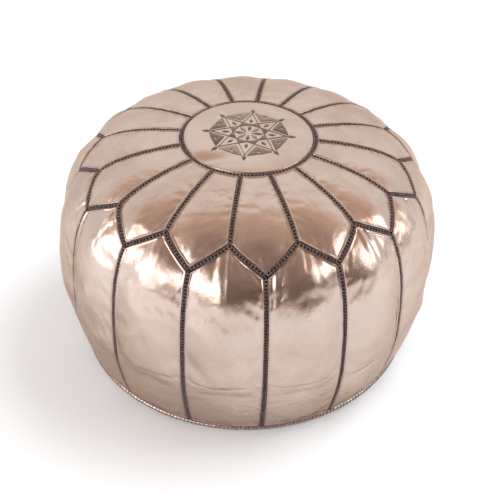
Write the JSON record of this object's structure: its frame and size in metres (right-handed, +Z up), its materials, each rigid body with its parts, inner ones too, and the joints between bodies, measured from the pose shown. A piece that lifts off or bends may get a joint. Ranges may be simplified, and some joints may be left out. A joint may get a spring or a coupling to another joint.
{
  "type": "leather floor pouf",
  "caption": "Round stuffed floor pouf of foil-finished leather with a petal crown, a stitched star medallion, puffed side panels and a zipped base.",
  "frame": {"origin": "middle of the base, on the floor", "axes": "+Z up to the seat, -Y towards the viewer, zip along X"},
  "size_m": [0.5301, 0.53, 0.3212],
  "materials": {
    "foil_leather": "metallic rose bronze foil, softly creased",
    "tooled_leather": "metallic rose bronze foil, flat and lightly worn",
    "base_leather": "bronze leather, satin",
    "seam_thread": "dark aubergine waxed thread",
    "star_thread": "brown silk embroidery",
    "zip_cloth": "woven tape",
    "zip_brass": "aged brass",
    "calico": "unbleached calico",
    "stuffing": "loose fibre"
  },
  "bodies": {
    "pouf": {"top_medallion": "tooled_leather", "star_embroidery": "star_thread", "base_half_front": "base_leather", "base_half_back": "base_leather", "medallion_seam": "seam_thread", "crown_seams": "seam_thread", "zigzag_seam": "seam_thread", "side_seams": "seam_thread", "base_seam": "seam_thread", "base_centre_seams": "seam_thread", "zip_tape_front": "zip_cloth", "zip_tape_back": "zip_cloth", "zip_teeth_front": "zip_brass", "zip_teeth_back": "zip_brass", "zip_top_stops": "zip_brass", "zip_bottom_stop": "zip_brass", "zip_stitching": "seam_thread", "stuffing_bag": "calico", "stuffing": "stuffing", "crown_panel_01": "foil_leather", "crown_panel_02": "foil_leather", "crown_panel_03": "foil_leather", "crown_panel_04": "foil_leather", "crown_panel_05": "foil_leather", "crown_panel_06": "foil_leather", "crown_panel_07": "foil_leather", "crown_panel_08": "foil_leather", "crown_panel_09": "foil_leather", "crown_panel_10": "foil_leather", "crown_panel_11": "foil_leather", "crown_panel_12": "foil_leather", "crown_panel_13": "foil_leather", "crown_panel_14": "foil_leather", "crown_panel_15": "foil_leather", "crown_panel_16": "foil_leather", "side_panel_01": "foil_leather", "side_panel_02": "foil_leather", "side_panel_03": "foil_leather", "side_panel_04": "foil_leather", "side_panel_05": "foil_leather", "side_panel_06": "foil_leather", "side_panel_07": "foil_leather", "side_panel_08": "foil_leather", "side_panel_09": "foil_leather", "side_panel_10": "foil_leather", "side_panel_11": "foil_leather", "side_panel_12": "foil_leather", "side_panel_13": "foil_leather", "side_panel_14": "foil_leather", "side_panel_15": "foil_leather", "side_panel_16": "foil_leather"},
    "slider": {"zip_slider": "zip_brass"},
    "pull": {"zip_pull": "zip_brass"}
  },
  "joints": [
    {"name": "zip_slide", "type": "slide", "parent": "pouf", "child": "slider", "axis": [-1, 0, 0], "range_m": [0, 0.284], "deforming": ["zip_teeth_front", "zip_teeth_back"]},
    {"name": "pull_swing", "type": "hinge", "parent": "slider", "child": "pull", "pos_m": [0.14675, 0, 0.0095], "axis": [0, 1, 0], "range_deg": [-150, 20]}
  ]
}
